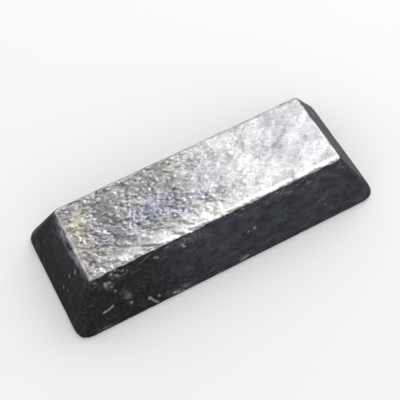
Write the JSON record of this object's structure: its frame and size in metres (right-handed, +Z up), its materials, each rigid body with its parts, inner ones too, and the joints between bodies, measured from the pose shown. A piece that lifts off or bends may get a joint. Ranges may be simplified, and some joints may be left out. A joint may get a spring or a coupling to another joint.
{
  "type": "lead ingot",
  "caption": "Cast lead ingot: a long drafted block with rounded corners, lying on its wide poured face, with a shallow shrinkage hollow underneath.",
  "frame": {"origin": "middle of the wide poured face, in the plane of its flat rim, which is the floor that the ingot lies on", "axes": "+X along the length, +Y across the width, +Z up from the poured face to the small face"},
  "size_m": [0.151, 0.062, 0.0285],
  "materials": {
    "lead": "satin"
  },
  "bodies": {
    "root": {"ingot": "lead"}
  },
  "joints": []
}
